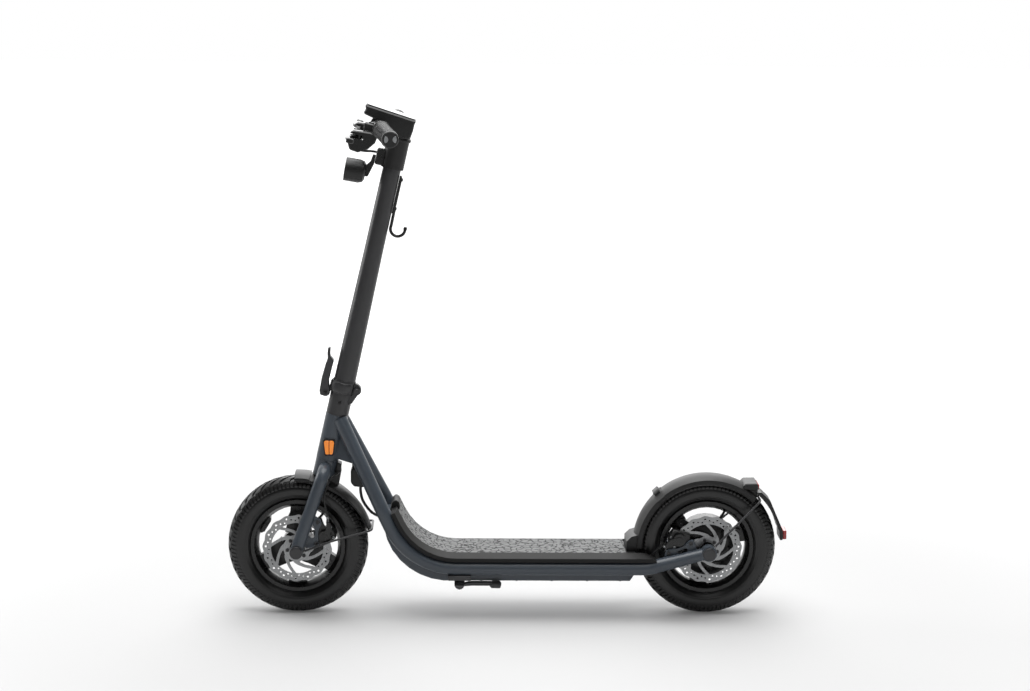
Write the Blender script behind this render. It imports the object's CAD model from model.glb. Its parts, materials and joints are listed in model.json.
# %% [markdown]
# # An electric kick scooter
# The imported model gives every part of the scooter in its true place: tubes, wheels, brakes, deck.
# Its solids are plain and flat-faced, so this lesson dresses them. Each piece is either a solid
# with its edges rounded and its curves smoothed, or a new one made in its place: tyres with a
# tread, drilled brake discs, ribbed grips. Bolts and other small things are added last.

# %% Load the frame
import json
import math

import bmesh
import bpy
from mathutils import Matrix, Vector


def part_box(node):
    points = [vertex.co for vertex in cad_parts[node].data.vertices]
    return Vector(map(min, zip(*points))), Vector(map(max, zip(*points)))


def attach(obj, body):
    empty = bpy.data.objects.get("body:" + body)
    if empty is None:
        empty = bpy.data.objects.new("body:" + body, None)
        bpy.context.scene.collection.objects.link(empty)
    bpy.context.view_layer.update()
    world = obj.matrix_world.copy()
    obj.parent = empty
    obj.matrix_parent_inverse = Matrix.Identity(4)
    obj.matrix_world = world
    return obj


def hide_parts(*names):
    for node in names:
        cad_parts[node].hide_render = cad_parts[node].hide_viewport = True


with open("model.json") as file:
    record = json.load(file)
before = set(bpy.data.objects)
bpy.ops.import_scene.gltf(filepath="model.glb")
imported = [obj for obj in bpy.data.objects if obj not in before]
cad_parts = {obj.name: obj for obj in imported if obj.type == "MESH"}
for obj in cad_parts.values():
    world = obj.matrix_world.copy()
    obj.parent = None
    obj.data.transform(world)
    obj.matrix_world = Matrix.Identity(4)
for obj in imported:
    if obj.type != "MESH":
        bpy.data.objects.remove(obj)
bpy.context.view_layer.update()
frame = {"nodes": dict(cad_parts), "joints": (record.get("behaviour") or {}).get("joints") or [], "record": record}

MM = 0.001
X, Y, Z = Vector((1, 0, 0)), Vector((0, 1, 0)), Vector((0, 0, 1))
LEFT, RIGHT = -1, 1
SIDES = ((LEFT, "left"), (RIGHT, "right"))
ENDS = ("front", "rear")
BODY_OF = {node: body for body, nodes in frame["record"]["behaviour"]["bodies"].items()
           for node in nodes}
SLOT_OF = {row["node"]: row["material_slot"] for row in frame["record"]["subparts"]}

# %% [markdown]
# The frame also says where the wheels and the steering turn. We read those places from its joints,
# in millimetres, because a scooter is drawn in millimetres. The fork and everything on the stem
# are drawn in steering coordinates: Z climbs the steering axis, X points to the rear. One matrix
# brings such a piece into the scooter's own coordinates, and each wheel has one as well.

# %% Places read from the joints
JOINT = {joint["name"]: joint for joint in frame["joints"]}


def joint_place(name):
    return Vector(JOINT[name]["pos_m"]) / MM


def points_at(place, points):
    """Points drawn in the coordinates of a place, in those of the scooter."""
    return [place @ Vector(point) for point in points]


steer_axis = Vector(JOINT["steering"]["axis"])
LEAN = math.atan2(steer_axis.x, steer_axis.z)
STEER = Matrix.Translation(joint_place("steering")) @ Matrix.Rotation(LEAN, 4, "Y")
WHEELS = {end: joint_place(end + "_wheel_spin") for end in ENDS}
AT_WHEEL = {end: Matrix.Translation(place) for end, place in WHEELS.items()}
print("the head tube leans", round(math.degrees(LEAN), 1), "degrees")

# %% [markdown]
# ## The camera
# The photograph was taken from the rider's left, about four and a half metres away and a little
# above the handlebar, with a moderate tele lens. A camera can be placed by eye, by matching points
# or by constraints. Here its place and its three turns are named values that were matched to the
# wheels, the deck and the display, so the render can be laid over the photograph.

# %% Camera
CAMERA_AT = Vector((-0.1101, -4.695, 1.5346))
CAMERA_YAW, CAMERA_PITCH, CAMERA_ROLL = (math.radians(a) for a in (1.488, 11.033, 0.61))
LENS_MM, SENSOR_MM = 74.69, 36


def new_object(name, data):
    obj = bpy.data.objects.new(name, data)
    bpy.context.scene.collection.objects.link(obj)
    return obj


camera_data = bpy.data.cameras.new("product_camera")
camera_data.lens, camera_data.sensor_width = LENS_MM, SENSOR_MM
camera = new_object("product_camera", camera_data)
camera.matrix_world = (Matrix.Translation(CAMERA_AT) @ Matrix.Rotation(-CAMERA_YAW, 4, "Z")
                       @ Matrix.Rotation(math.pi / 2 - CAMERA_PITCH, 4, "X")
                       @ Matrix.Rotation(CAMERA_ROLL, 4, "Z"))
bpy.context.scene.camera = camera
print("camera", round(CAMERA_AT.length, 2), "m from the scooter's foot")

# %% [markdown]
# ## Adding nodes
# Materials and Geometry Nodes are both trees of nodes. One small function adds a node of any kind,
# sets its values and links its inputs, so each tree below reads as a short list. A link starts at
# a socket, or at a node when its first output is meant.

# %% One helper for every node
def link(source, node, key):
    """Links a socket, or a node's first output, to an input."""
    socket = source if isinstance(source, bpy.types.NodeSocket) else source.outputs[0]
    node.id_data.links.new(socket, node.inputs[key])


def add(tree, kind, settings=None, links=None):
    """Adds a node. A setting is an attribute of the node, or else the value of an input."""
    node = tree.nodes.new(kind)
    for key, value in (settings or {}).items():
        if isinstance(key, str) and hasattr(node, key):
            setattr(node, key, value)
        else:
            node.inputs[key].default_value = value
    for key, source in (links or {}).items():
        link(source, node, key)
    return node


def colour(code):
    """An sRGB hex colour as the linear numbers that a shader wants."""
    parts = [int(code[i:i + 2], 16) / 255 for i in (0, 2, 4)]
    return [p / 12.92 if p <= 0.04045 else ((p + 0.055) / 1.055) ** 2.4 for p in parts] + [1.0]


# A Mix node that is set to colour has its two colours and its result at these places.
FIRST, SECOND, MIXED = 6, 7, 2


def per_metre(size_mm):
    """The scale of a pattern whose cells are about this many millimetres wide."""
    return 1 / (size_mm * MM)


print("a 5 mm pattern has scale", per_metre(5))

# %% [markdown]
# ## Finishes
# Most of the scooter is one of a few industrial finishes, and each has the same three layers in
# its tree: a colour that wanders slightly, a roughness that wanders too, and a fine relief. The
# function below builds these layers from sizes in millimetres, and each finish then says what it
# is and how fine its grain is. Object coordinates are used because every piece stands at the
# origin, so a grain of half a millimetre is that size on every piece.

# %% A finish with its colour, roughness and relief
FINISH = {}
ROUGHNESS_SWING = 0.06


def finish(key, name, dark, light, roughness, cloud_mm, grain_mm, relief_mm, own=None):
    """Keeps a Principled material in FINISH, with values of the shader's own sockets. It returns
    the tree, the shader and the position, for patterns that go on top."""
    material = FINISH[key] = bpy.data.materials.new(name)
    material.use_nodes = True
    tree = material.node_tree
    shader = tree.nodes["Principled BSDF"]
    for title, value in (own or {}).items():
        shader.inputs[title].default_value = value
    place = add(tree, "ShaderNodeTexCoord").outputs["Object"]
    cloud = add(tree, "ShaderNodeTexNoise", {"Scale": per_metre(cloud_mm), "Detail": 4.0},
                {"Vector": place})
    tint = add(tree, "ShaderNodeMix",
               {"data_type": "RGBA", FIRST: colour(dark), SECOND: colour(light)},
               {"Factor": cloud})
    link(tint.outputs[MIXED], shader, "Base Color")
    spread = add(tree, "ShaderNodeMapRange", {"To Min": roughness - ROUGHNESS_SWING,
                                              "To Max": roughness + ROUGHNESS_SWING},
                 {"Value": cloud})
    link(spread, shader, "Roughness")
    grain = add(tree, "ShaderNodeTexNoise", {"Scale": per_metre(grain_mm), "Detail": 2.0},
                {"Vector": place})
    bump = add(tree, "ShaderNodeBump", {"Strength": 0.5, "Distance": relief_mm * MM},
               {"Height": grain})
    link(bump, shader, "Normal")
    return tree, shader, place


print("roughness wanders by", ROUGHNESS_SWING)

# %% [markdown]
# The frame and the fork are aluminium under a matte powder coat, an anthracite with some blue in
# it. The powder melts into a skin like fine orange peel, so the light on the tubes is broad and
# soft. The stem and the hinge are black anodised, which is thinner and smoother. Rims, calipers,
# the motor and the hand levers with their brackets have a wet enamel, darker and glossier.

# %% Powder coat, black anodised aluminium and enamel
# Slot, name, darker and lighter colour, roughness, then clouds, grain and relief in millimetres.
finish("frame_paint", "powder_coated_aluminium", "40474f", "484f57", 0.3, 60, 1.6, 0.06)
finish("satin_black", "black_anodised_aluminium", "323233", "39393b", 0.34, 40, 0.7, 0.03)
finish("gloss_black", "gloss_black_enamel", "0e0e0e", "131313", 0.28, 30, 1.2, 0.04)
print(len(FINISH), "metal finishes")

# %% [markdown]
# The mudguards, the display housing and the lamp are injection-moulded nylon. Its mould is
# spark-eroded, which leaves a fine leathery grain that catches light from above and turns grey.
# The deck board is a matte polymer that mirrors less than nylon does, so its specular level is
# low. Grips are softer: a rubber whose dusty pores give it a little sheen.

# %% Moulded nylon, deck polymer and grip rubber
finish("black_plastic", "moulded_black_nylon", "0f0f0f", "141414", 0.44, 25, 0.9, 0.05)
finish("grip_rubber", "grip_rubber", "0f0f0f", "151515", 0.32, 12, 0.6, 0.05,
       {"Sheen Weight": 0.12})
finish("deck_polymer", "matte_black_deck_polymer", "1b1b1b", "212121", 0.5, 25, 0.9, 0.05,
       {"Specular IOR Level": 0.22})
print("nylon, deck polymer and rubber")

# %% [markdown]
# Tyre rubber is black with carbon. The side wall leaves the mould smooth, so it is nearly black
# with a broad soft light on it, and the fine rings in it are real geometry, made later. The tread
# is the same rubber scuffed by the road: greyer, rougher and with more relief. That makes it a
# finish of its own.

# %% Tyre rubber
finish("tyre_rubber", "carbon_black_tyre_rubber", "060606", "0b0b0b", 0.3, 35, 0.8, 0.02,
       {"Specular IOR Level": 0.55})
finish("tread_rubber", "scuffed_tread_rubber", "1a1a1a", "262626", 0.34, 18, 0.9, 0.03)
print("smooth tyre rubber, and its scuffed tread")

# %% [markdown]
# A brake disc is stainless steel, ground flat on a turning table. The wheel leaves fine scratches
# that run round the axle. To draw them, the position is centred on the axle, its distance from the
# axle is taken, and a noise that changes quickly with that distance alone makes the rings. One
# function makes the finish for a disc anywhere, as the two discs have their own centres.

# %% Ground stainless steel for the discs
RING_MM = 1.2  # real grinding lines are finer; this is as fine as the render can show


def ground_steel(key, name, centre):
    tree, shader, place = finish(key, name, "8f9092", "a3a4a5", 0.36, 14, 0.8, 0.02,
                                 {"Metallic": 0.85})
    centred = add(tree, "ShaderNodeMapping", {"Location": -centre * MM, "Scale": (1, 0, 1)},
                  {"Vector": place})
    reach = add(tree, "ShaderNodeVectorMath", {"operation": "LENGTH"}, {0: centred})
    rings = add(tree, "ShaderNodeTexNoise",
                {"noise_dimensions": "1D", "Scale": per_metre(RING_MM), "Detail": 3.0},
                {"W": reach.outputs["Value"]})
    sharper = add(tree, "ShaderNodeMapRange", {"From Min": 0.35, "From Max": 0.65},
                  {"Value": rings})
    shade = add(tree, "ShaderNodeMix",
                {"data_type": "RGBA", FIRST: colour("858687"), SECOND: colour("a9aaab")},
                {"Factor": sharper})
    link(shade.outputs[MIXED], shader, "Base Color")
    bump = add(tree, "ShaderNodeBump", {"Strength": 0.35, "Distance": 0.03 * MM},
               {"Height": rings})
    link(bump, shader, "Normal")


for end in ENDS:
    ground_steel(end + "_disc", "ground_stainless_" + end, WHEELS[end])
finish("bright_steel", "zinc_plated_steel", "8d8f90", "a6a8aa", 0.3, 6, 0.5, 0.02,
       {"Metallic": 0.9})
finish("cell_wrap", "blue_shrink_wrap", "264f8c", "2d5fa8", 0.4, 30, 2.5, 0.2)
print("steel:", ", ".join(FINISH[end + "_disc"].name for end in ENDS))

# %% [markdown]
# The deck mat is a grey rubber with a cast pattern like cracked earth: short dark grooves a
# centimetre or two apart, most of them broken. Voronoi cells have just such edges. Their distance
# to the edge gives a thin line, a second noise breaks the lines into dashes, and both the colour
# and the relief follow them. The mat's cut edges are darker than its top. They face sideways, so
# the direction of the surface tells where they are.

# %% Deck mat rubber
CRACK_CELL_MM = 14
CRACK_WIDE, CRACK_DEEP_MM = (0.088, 0.073), 0.6
CRACK_DARK, MAT_EDGE = "0e0f0f", "323334"

tree, shader, place = finish("deck_rubber", "cast_deck_rubber", "6d6e6e", "7a7b7b", 0.75, 20, 0.9,
                             0.1)
warp = add(tree, "ShaderNodeTexNoise", {"Scale": per_metre(14), "Detail": 2.0}, {"Vector": place})
bent = add(tree, "ShaderNodeMix", {"data_type": "VECTOR", 0: 0.008},
           {4: place, 5: warp.outputs["Color"]})
cells = add(tree, "ShaderNodeTexVoronoi",
            {"feature": "DISTANCE_TO_EDGE", "Scale": per_metre(CRACK_CELL_MM)},
            {"Vector": bent.outputs[1]})
gaps = add(tree, "ShaderNodeTexNoise", {"Scale": per_metre(11), "Detail": 1.0}, {"Vector": place})
line = add(tree, "ShaderNodeMapRange", {"From Min": CRACK_WIDE[0], "From Max": CRACK_WIDE[1]},
           {"Value": cells.outputs["Distance"]})
kept = add(tree, "ShaderNodeMapRange", {"From Min": 0.37, "From Max": 0.44}, {"Value": gaps})
broken = add(tree, "ShaderNodeMath", {"operation": "MULTIPLY"}, {0: line, 1: kept})
cracked = add(tree, "ShaderNodeMix", {"data_type": "RGBA", SECOND: colour(CRACK_DARK)},
              {"Factor": broken, FIRST: shader.inputs["Base Color"].links[0].from_socket})
facing = add(tree, "ShaderNodeSeparateXYZ", links={0: place.node.outputs["Normal"]})
sideways = add(tree, "ShaderNodeMath", {"operation": "ABSOLUTE"}, {0: facing.outputs["Y"]})
on_edge = add(tree, "ShaderNodeMapRange", {"From Min": 0.6, "From Max": 0.8},
              {"Value": sideways})
edged = add(tree, "ShaderNodeMix", {"data_type": "RGBA", SECOND: colour(MAT_EDGE)},
            {"Factor": on_edge, FIRST: cracked.outputs[MIXED]})
link(edged.outputs[MIXED], shader, "Base Color")
groove = add(tree, "ShaderNodeBump",
             {"invert": True, "Strength": 0.5, "Distance": CRACK_DEEP_MM * MM},
             {"Height": broken, "Normal": shader.inputs["Normal"].links[0].from_socket})
link(groove, shader, "Normal")
print("mat with cells of", CRACK_CELL_MM, "mm")

# %% [markdown]
# Reflectors are clear coloured acrylic over a field of small prisms, so they look brighter than
# paint and sparkle in cells. A chequer of tiny pyramids would be heavy; a Voronoi pattern of two
# millimetres in the shader does it. The lamp's front is clear, and the display is black glass.

# %% Lenses and glass
def lens(slot, name, dark, light, prism_mm, roughness=0.16, own=None):
    coat = {"Coat Weight": 0.6, "Coat Roughness": 0.06}
    tree, shader, place = finish(slot, name, dark, light, roughness, 8, 1.0, 0.02,
                                 {**coat, **(own or {})})
    prisms = add(tree, "ShaderNodeTexVoronoi",
                 {"distance": "CHEBYCHEV", "Scale": per_metre(prism_mm), "Randomness": 0.0},
                 {"Vector": place})
    slope = add(tree, "ShaderNodeMapRange", {"From Min": 0.1, "From Max": 0.6},
                {"Value": prisms})
    sparkle = add(tree, "ShaderNodeMix",
                  {"data_type": "RGBA", FIRST: colour(light), SECOND: colour(dark)},
                  {"Factor": slope})
    link(sparkle.outputs[MIXED], shader, "Base Color")


lens("amber_lens", "amber_reflector_acrylic", "e87810", "ff9c28", 2.2,
     own={"Emission Color": colour("f58a26"), "Emission Strength": 0.36})
lens("red_lens", "red_reflector_acrylic", "8e1414", "c02222", 2.2)
lens("clear_lens", "clear_polycarbonate", "b9bec1", "e4e8ea", 3.0, 0.08)
finish("display_glass", "black_display_glass", "0a0b0c", "0d0e0f", 0.1, 40, 8, 0.01)
print(len(FINISH), "finishes in all")

# %% [markdown]
# ## Turning solids into finished pieces
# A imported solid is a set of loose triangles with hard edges. Remodelling every bracket would waste
# what is already right, so most pieces start as a copy: the triangles are merged, flat faces are
# joined again, and a Bevel modifier rounds the edges. No real edge is perfectly sharp, and the
# rounded ones catch the thin highlights that make a part look made of metal or plastic. Weighted
# normals keep the flat faces flat in the shading.

# %% Copy, round and settle
FLAT_WITHIN = 0.6  # degrees


def shape(bm):
    """A bmesh as an object in millimetres, with its faces turned outwards."""
    bmesh.ops.remove_doubles(bm, verts=bm.verts, dist=0.002)
    bmesh.ops.recalc_face_normals(bm, faces=bm.faces)
    mesh = bpy.data.meshes.new("shape")
    bm.to_mesh(mesh)
    bm.free()
    return new_object("shape", mesh)


def copy_of(node):
    """A solid's mesh in millimetres, merged and with its flat faces whole again."""
    bm = bmesh.new()
    bm.from_mesh(frame["nodes"][node].data)
    bm.transform(Matrix.Scale(1 / MM, 4))
    bmesh.ops.remove_doubles(bm, verts=bm.verts, dist=0.01)
    bmesh.ops.dissolve_limit(bm, angle_limit=math.radians(FLAT_WITHIN), verts=bm.verts,
                             edges=bm.edges)
    return shape(bm)


def evaluated(obj):
    """The mesh of an object after its modifiers."""
    graph = bpy.context.evaluated_depsgraph_get()
    return bpy.data.meshes.new_from_object(obj.evaluated_get(graph))


def apply_modifiers(obj):
    mesh = evaluated(obj)
    obj.modifiers.clear()
    obj.data = mesh
    return obj


def opened(obj):
    """An object's mesh as a bmesh to work on; the object itself goes."""
    bm = bmesh.new()
    bm.from_mesh(evaluated(obj))
    bpy.data.objects.remove(obj, do_unlink=True)
    return bm


def rounded(obj, width, segments=2, angle=38):
    """Bevels the edges that turn by more than the angle."""
    bevel = obj.modifiers.new("rounded", "BEVEL")
    bevel.width, bevel.segments = width, segments
    bevel.limit_method, bevel.angle_limit = "ANGLE", math.radians(angle)
    bevel.miter_outer = "MITER_ARC"
    return apply_modifiers(obj)


def united(obj, *others):
    """Several shapes as the loose shells of one mesh."""
    bm = bmesh.new()
    for part in (obj,) + others:
        bm.from_mesh(part.data)
    for part in others:
        bpy.data.objects.remove(part, do_unlink=True)
    bm.to_mesh(obj.data)
    bm.free()
    return obj


def moved(obj, matrix):
    obj.data.transform(matrix)
    return obj


def settle(obj, name, body, slot, *stands_for, look=None, sharp=42):
    """Brings a shape to metres, gives it its finish and lets it move with its body."""
    obj.name = obj.data.name = name
    moved(obj, Matrix.Scale(MM, 4))
    obj.data.materials.clear()
    obj.data.materials.append(FINISH[look or slot])
    obj.data.shade_smooth()
    obj.data.set_sharp_from_angle(angle=math.radians(sharp))
    weighted = obj.modifiers.new("flat faces stay flat", "WEIGHTED_NORMAL")
    weighted.keep_sharp = True
    apply_modifiers(obj)
    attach(obj, body)
    if stands_for:
        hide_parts(*stands_for)
    return obj


ROUNDED = {
    "head_tube": 1.2, "cable_box": 1.5, "battery_tray": 2.0, "deck_board": 0.8, "deck_mat": 0.5,
    "rear_caliper": 0.8, "front_caliper": 0.8, "tail_light_housing": 1.2, "rear_reflector": 1.0,
    "tail_light_lens": 0.8, "kickstand_bracket": 0.8, "kickstand": 0.8, "fold_base": 0.7,
    "fold_collar": 0.7, "fold_lever": 0.9, "stem_head": 1.0, "left_lever_bracket": 1.0,
    "right_lever_bracket": 1.0, "left_brake_lever": 0.6, "right_brake_lever": 0.6,
    "throttle_lever": 0.7, "mode_button": 0.4, "front_rim": 0.9, "rear_rim": 0.9,
    "hub_motor": 0.9, "fork_crown": 1.0, "upper_headset_bearing": 0.4,
    "lower_headset_bearing": 0.4, "front_wheel_bearings": 0.4, "battery_pack": 1.0,
    "motor_controller": 0.5, "display_glass": 0.3, "handlebar": 0.3, "mudguard_band": 0.6,
    "headlight": 0.9, "headlight_lens": 0.5,
}
ENAMELLED = ("front_rim", "rear_rim", "front_caliper", "rear_caliper", "left_brake_lever",
             "right_brake_lever", "hub_motor", "left_lever_bracket", "right_lever_bracket",
             "throttle_lever")
LOOK = dict.fromkeys(ENAMELLED, "gloss_black")
LOOK["deck_board"] = "deck_polymer"
for node, width in ROUNDED.items():
    settle(rounded(copy_of(node), width), node + "_finished", BODY_OF[node], SLOT_OF[node], node,
           look=LOOK.get(node))
print(len(ROUNDED), "solids rounded")

# %% [markdown]
# ## Shapes that are spun, cut from plate or drawn along a line
# New pieces are made in three ways: an outline spun round an axis, a flat outline thickened into a
# plate, and a round section carried along a path. The helpers take millimetres.

# %% Points and outlines
def polar(radius, degrees, centre=(0.0, 0.0)):
    turn = math.radians(degrees)
    return (centre[0] + radius * math.cos(turn), centre[1] + radius * math.sin(turn))


def round_axle(radius, degrees, y=0.0):
    """A point round an axle that lies along Y."""
    x, z = polar(radius, degrees)
    return Vector((x, y, z))


def arc(centre, radius, start, end, steps):
    """Points on an arc, from a start to an end in degrees."""
    return [polar(radius, start + (end - start) * i / steps, centre) for i in range(steps + 1)]


def flipped(outline):
    return [(-a, b) for a, b in outline[::-1]]


def mirrored(half):
    """The whole outline from one half; points in the middle plane aren't doubled."""
    return half + [point for point in flipped(half) if point[0]]


def eased(points, rounds=2):
    """A closed outline with its corners cut twice, which rounds them."""
    points = [Vector(point) for point in points]
    for _ in range(rounds):
        points = [a.lerp(b, share) for a, b in zip(points, points[1:] + points[:1])
                  for share in (0.25, 0.75)]
    return [tuple(point) for point in points]


def rounded_path(points, radii, step=4):
    """A polyline whose inner corners are arcs of the given radii, a point every few degrees."""
    points = [Vector(point) for point in points]
    path = [points[0]]
    for before, corner, after, radius in zip(points, points[1:], points[2:], radii):
        back, ahead = (before - corner).normalized(), (after - corner).normalized()
        turn = math.pi - back.angle(ahead)
        reach = radius * math.tan(turn / 2)
        middle = corner + (back + ahead).normalized() * (radius / math.cos(turn / 2))
        first = corner + back * reach - middle
        axis = first.cross(corner + ahead * reach - middle).normalized()
        steps = max(1, round(math.degrees(turn) / step))
        path += [middle + Matrix.Rotation(turn * i / steps, 3, axis) @ first
                 for i in range(steps + 1)]
    return path + [points[-1]]


def smooth_path(points, step):
    """Points every few millimetres along a smooth curve through the given ones."""
    points = [Vector(point) for point in points]
    ends = [2 * points[0] - points[1]] + points + [2 * points[-1] - points[-2]]
    path = []
    for p0, p1, p2, p3 in zip(ends, ends[1:], ends[2:], ends[3:]):
        count = max(2, round((p2 - p1).length / step))
        for i in range(count):
            t = i / count
            tangent = (p2 - p0) * t + (2 * p0 - 5 * p1 + 4 * p2 - p3) * t ** 2
            path.append(p1 + 0.5 * (tangent + (3 * p1 - p0 - 3 * p2 + p3) * t ** 3))
    return path + [points[-1]]


print("an arc of 90 degrees:", len(arc((0, 0), 1, 0, 90, 6)), "points")

# %% Spun, flat and lofted shapes
def turned(outline, axis=Y, at=Vector(), steps=64):
    """The closed outline of (along, radius) points, spun round an axis through a point."""
    axis = Vector(axis).normalized()
    guide = X if abs(axis.z) > 0.9 else Z
    out = (guide - axis * axis.dot(guide)).normalized()
    bm = bmesh.new()
    ring = [bm.verts.new(at + axis * along + out * radius) for along, radius in outline]
    edges = [bm.edges.new((a, b)) for a, b in zip(ring, ring[1:] + ring[:1])]
    bmesh.ops.spin(bm, geom=ring + edges, cent=at, axis=axis, angle=math.tau, steps=steps)
    return shape(bm)


def rod(start, end, radius, steps=32):
    start, along = Vector(start), Vector(end) - Vector(start)
    outline = [(0, 0), (0, radius), (along.length, radius), (along.length, 0)]
    return turned(outline, along, start, steps)


def plate(outline, low, high):
    """A flat outline of (x, z) points, thickened from low to high along Y."""
    bm = bmesh.new()
    face = bm.faces.new([bm.verts.new((a, low, b)) for a, b in outline])
    thick = bmesh.ops.extrude_face_region(bm, geom=[face])["geom"]
    lifted = [part for part in thick if isinstance(part, bmesh.types.BMVert)]
    bmesh.ops.translate(bm, verts=lifted, vec=Y * (high - low))
    return shape(bm)


def cut_plate(outline, holes, low, high, edge):
    """A flat sheet with holes: a filled 2-D curve whose edges are broken by a small bevel."""
    curve = bpy.data.curves.new("sheet", "CURVE")
    curve.dimensions, curve.fill_mode = "2D", "BOTH"
    curve.bevel_depth, curve.bevel_resolution, curve.offset = edge, 1, -edge
    curve.extrude = (high - low) / 2 - edge
    for loop in [outline] + holes:
        spline = curve.splines.new("POLY")
        spline.points.add(len(loop) - 1)
        for point, (a, b) in zip(spline.points, loop):
            point.co = (a, b, 0, 1)
        spline.use_cyclic_u = True
    bm = opened(new_object("sheet", curve))
    stand = Matrix.Translation((0, (low + high) / 2, 0)) @ Matrix.Rotation(math.pi / 2, 4, "X")
    bmesh.ops.transform(bm, matrix=stand, verts=bm.verts)
    return shape(bm)


def lofted(rings):
    """A skin over rings of points, closed at both ends."""
    bm = bmesh.new()
    skins = [[bm.verts.new(point) for point in ring] for ring in rings]
    for ring, following in zip(skins, skins[1:]):
        for i, vert in enumerate(ring):
            j = (i + 1) % len(ring)
            bm.faces.new((vert, ring[j], following[j], following[i]))
    bm.faces.new(skins[0])
    bm.faces.new(skins[-1])
    return shape(bm)


def round_wheel(section, start, end, steps, centre):
    """A section of (y, radius) points carried round an axle along Y, over part of a turn. The
    section is a function of the share of the way from the start to the end."""
    return lofted([[centre + round_axle(radius, start + (end - start) * i / steps, y)
                    for y, radius in section(i / steps)] for i in range(steps + 1)])


def cut(obj, *tools):
    """Takes solids away from a shape."""
    for tool in tools:
        knife = obj.modifiers.new("cut", "BOOLEAN")
        knife.operation, knife.object, knife.solver = "DIFFERENCE", tool, "EXACT"
        apply_modifiers(obj)
        bpy.data.objects.remove(tool, do_unlink=True)
    return obj


print("a full turn takes 64 steps, a rod's 32")

# %% [markdown]
# ## Three node trees
# Geometry Nodes make what repeats. The first tree repeats a piece round an axle: it makes one
# point for each copy, all at the centre, and turns each copy a little further. The second puts a
# screw on each of a list of points, aimed and sized by values that the points carry. The third
# carries a round section along a path, for tubes and hoses. All three end by making the copies
# real and giving them their material, because an exported model keeps no instances.

# %% Tree: copies round an axle
def new_tree(name, **inputs):
    """A Geometry Nodes tree with named inputs, and its input sockets."""
    tree = bpy.data.node_groups.new(name, "GeometryNodeTree")
    tree.interface.new_socket("Geometry", in_out="INPUT", socket_type="NodeSocketGeometry")
    for title, kind in inputs.items():
        tree.interface.new_socket(title, in_out="INPUT", socket_type="NodeSocket" + kind)
    tree.interface.new_socket("Geometry", in_out="OUTPUT", socket_type="NodeSocketGeometry")
    return tree, add(tree, "NodeGroupInput").outputs


def end_tree(tree, geometry, material):
    """Makes instances real, sets the material and leads the result out."""
    real = add(tree, "GeometryNodeRealizeInstances", links={0: geometry})
    painted = add(tree, "GeometryNodeSetMaterial", links={0: real, "Material": material})
    add(tree, "NodeGroupOutput", links={0: painted})
    print(tree.name, len(tree.nodes), "nodes")


def grown(obj, tree, **values):
    """Runs a tree on an object with the given inputs, and keeps the result as a plain mesh."""
    modifier = obj.modifiers.new(tree.name, "NODES")
    modifier.node_group = tree
    for item in tree.interface.items_tree:
        if item.in_out == "INPUT" and item.name in values:
            modifier[item.identifier] = values[item.name]
    return apply_modifiers(obj)


AROUND, given = new_tree("copies round an axle", Count="Int", First="Float", Finish="Material")
centres = add(AROUND, "GeometryNodeMeshLine", {"mode": "OFFSET", "Offset": (0, 0, 0)},
              {"Count": given["Count"]})
step = add(AROUND, "ShaderNodeMath", {"operation": "DIVIDE", 0: math.tau}, {1: given["Count"]})
number = add(AROUND, "GeometryNodeInputIndex")
turn = add(AROUND, "ShaderNodeMath", {"operation": "MULTIPLY_ADD"},
           {0: number, 1: step, 2: given["First"]})
about_y = add(AROUND, "ShaderNodeCombineXYZ", links={"Y": turn})
turned_by = add(AROUND, "FunctionNodeEulerToRotation", links={0: about_y})
copies = add(AROUND, "GeometryNodeInstanceOnPoints",
             links={"Points": centres, "Instance": given["Geometry"], "Rotation": turned_by})
end_tree(AROUND, copies, given["Finish"])

# %% Tree: a screw on each point
SCREWS, given = new_tree("a screw on each point", Screw="Object", Finish="Material")
aim = add(SCREWS, "GeometryNodeInputNamedAttribute", {"data_type": "FLOAT_VECTOR", "Name": "aim"})
size = add(SCREWS, "GeometryNodeInputNamedAttribute", {"data_type": "FLOAT", "Name": "size"})
aimed = add(SCREWS, "FunctionNodeAlignRotationToVector", {"axis": "Z"}, {"Vector": aim})
screw = add(SCREWS, "GeometryNodeObjectInfo", links={"Object": given["Screw"]})
placed = add(SCREWS, "GeometryNodeInstanceOnPoints",
             links={"Points": given["Geometry"], "Instance": screw.outputs["Geometry"],
                    "Rotation": aimed, "Scale": size})
end_tree(SCREWS, placed, given["Finish"])

# %% Tree: a round section along a path
TUBE, given = new_tree("a tube on a path", Sides="Int", Finish="Material")
width = add(TUBE, "GeometryNodeInputNamedAttribute", {"data_type": "FLOAT", "Name": "size"})
path = add(TUBE, "GeometryNodeMeshToCurve", links={0: given["Geometry"]})
ring = add(TUBE, "GeometryNodeCurvePrimitiveCircle", {"mode": "RADIUS", "Radius": 1.0},
           {"Resolution": given["Sides"]})
skin = add(TUBE, "GeometryNodeCurveToMesh", {"Fill Caps": True},
           {"Curve": path, "Profile Curve": ring, "Scale": width})
end_tree(TUBE, skin, given["Finish"])


def carry(mesh, name, kind, values):
    """Gives each point of a mesh a value or a vector, for a tree to read."""
    field = "vector" if kind == "FLOAT_VECTOR" else "value"
    mesh.attributes.new(name, kind, "POINT").data.foreach_set(field, values)


def tube(points, radius, sides=24, tip=1.0):
    """A round bar along a path in millimetres; its last point has a share of the radius."""
    mesh = bpy.data.meshes.new("path")
    mesh.from_pydata(points, [(i, i + 1) for i in range(len(points) - 1)], [])
    carry(mesh, "size", "FLOAT", [radius] * (len(points) - 1) + [radius * tip])
    bar = grown(new_object("path", mesh), TUBE, Sides=sides, Finish=FINISH["frame_paint"])
    return shape(opened(bar))


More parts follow.
